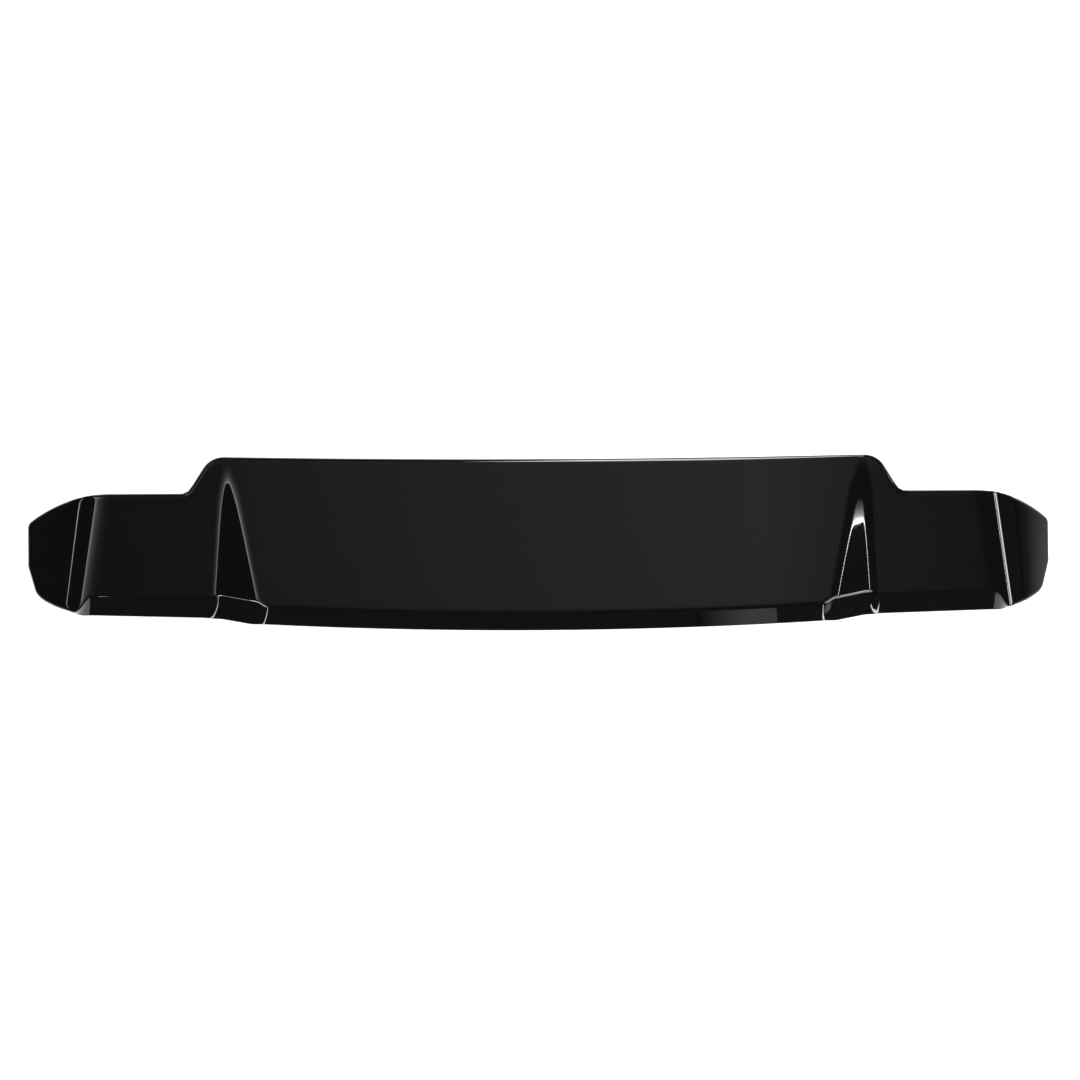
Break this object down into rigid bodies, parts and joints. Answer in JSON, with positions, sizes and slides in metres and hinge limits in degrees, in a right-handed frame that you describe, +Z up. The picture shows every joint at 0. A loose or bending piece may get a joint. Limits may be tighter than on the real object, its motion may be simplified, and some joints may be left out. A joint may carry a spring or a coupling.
{
  "type": "rear spoiler",
  "caption": "Gloss-black moulded rear spoiler for the top of a tailgate, with a raised centre panel, lower side wings, sloped tips, a rear lip and a hollow underside",
  "frame": {"origin": "middle of the box around the part, at its lowest level, where the lower edges of both tips rest", "axes": "+X to the right as seen from behind the car, +Y forward to the front edge of the centre tongue, +Z up out of the top surface"},
  "size_m": [1.3, 0.2199, 0.081],
  "materials": {
    "gloss_black_abs": "high-gloss black ABS, moulded in one piece and polished"
  },
  "bodies": {
    "root": {"spoiler_shell": "gloss_black_abs"}
  },
  "joints": []
}
